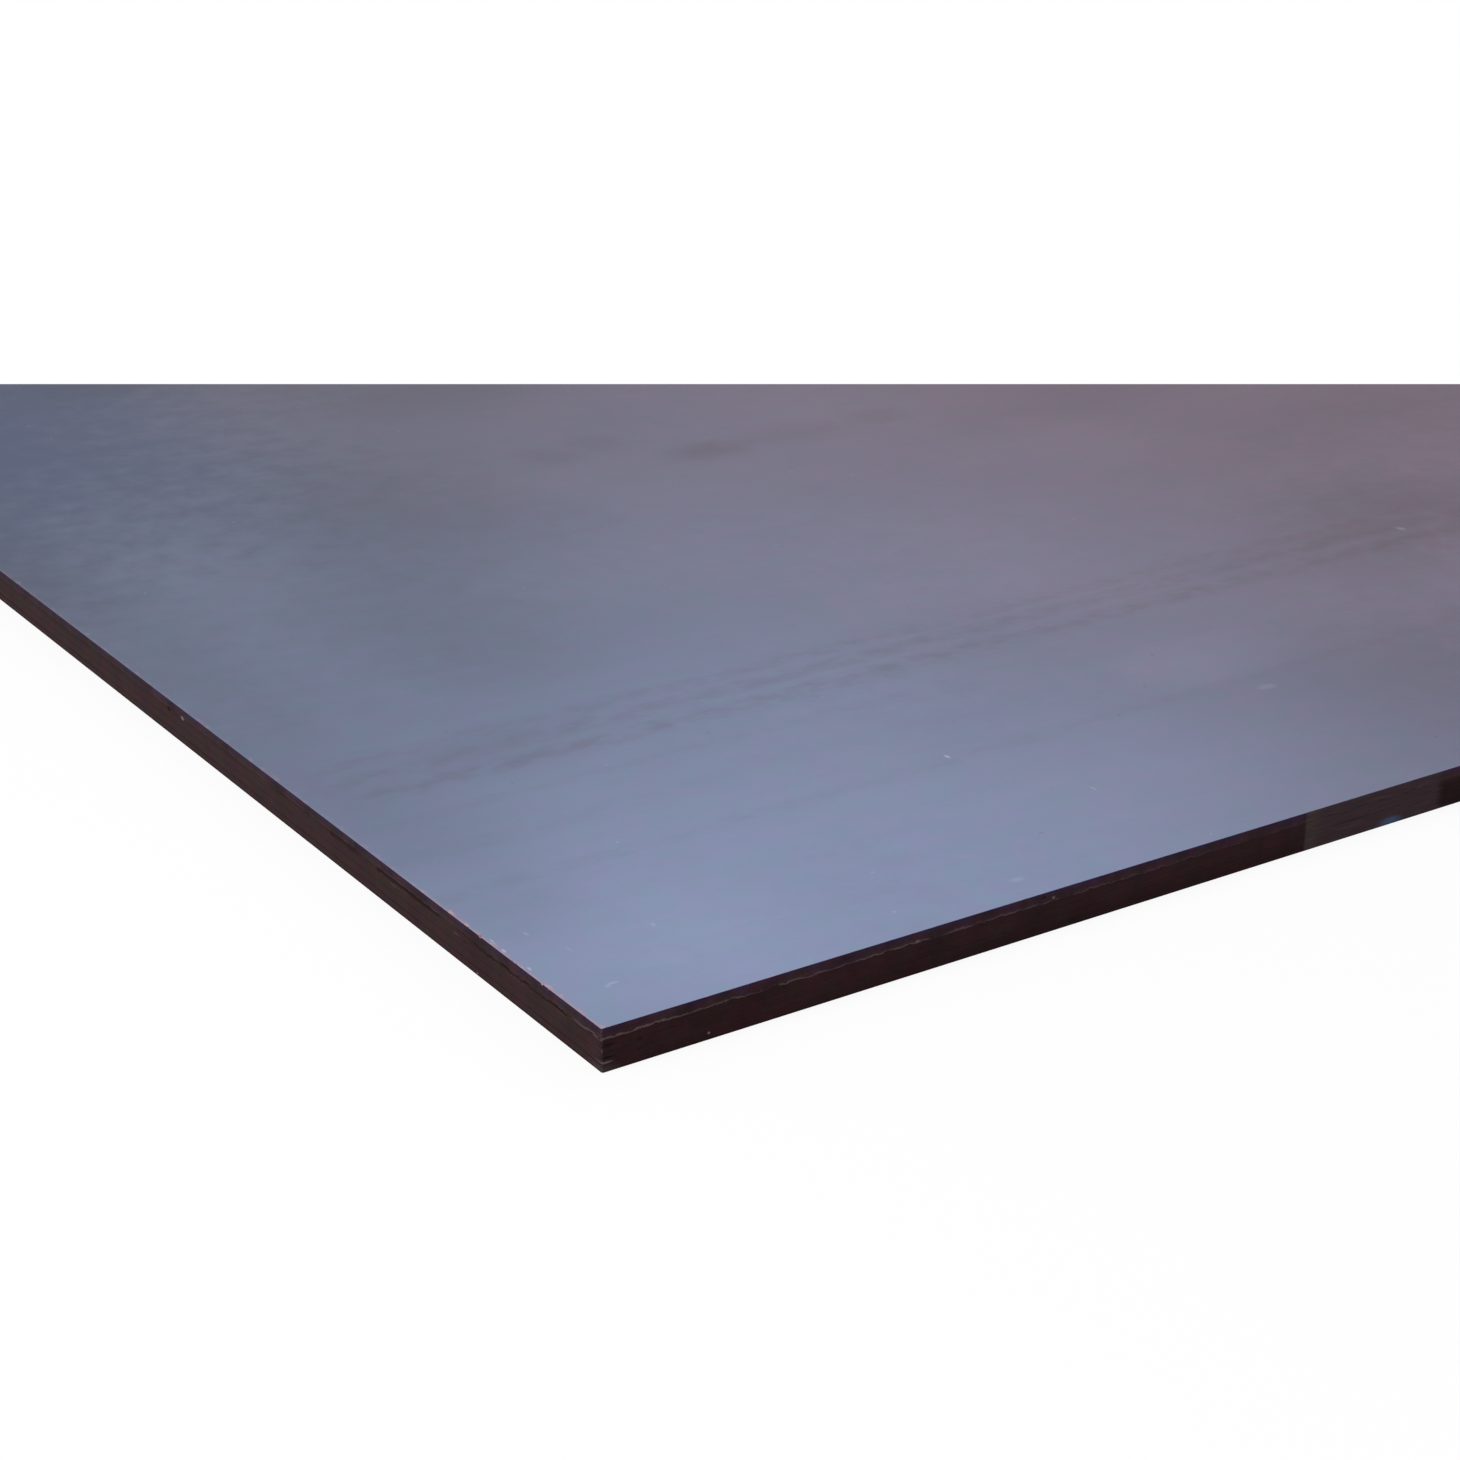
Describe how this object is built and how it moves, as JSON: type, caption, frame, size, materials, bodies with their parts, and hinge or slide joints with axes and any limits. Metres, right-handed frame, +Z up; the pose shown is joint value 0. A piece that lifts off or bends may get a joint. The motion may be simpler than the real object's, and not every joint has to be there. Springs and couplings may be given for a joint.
{
  "type": "film-faced plywood sheet",
  "caption": "Flat rectangular sheet of cross-laid wood veneers with a dark smooth film on both faces and painted sawn edges.",
  "frame": {"origin": "middle of the underside", "axes": "+X along the sheet's length and its face grain, +Y across it, +Z up out of the top face"},
  "size_m": [2.5, 1.25, 0.018],
  "materials": {
    "film_faced_plywood": "dark brown phenolic film with a dusty slate-blue bloom, half matt; dark brown paint on the sawn edges"
  },
  "bodies": {
    "root": {"plywood_sheet": "film_faced_plywood"}
  },
  "joints": []
}
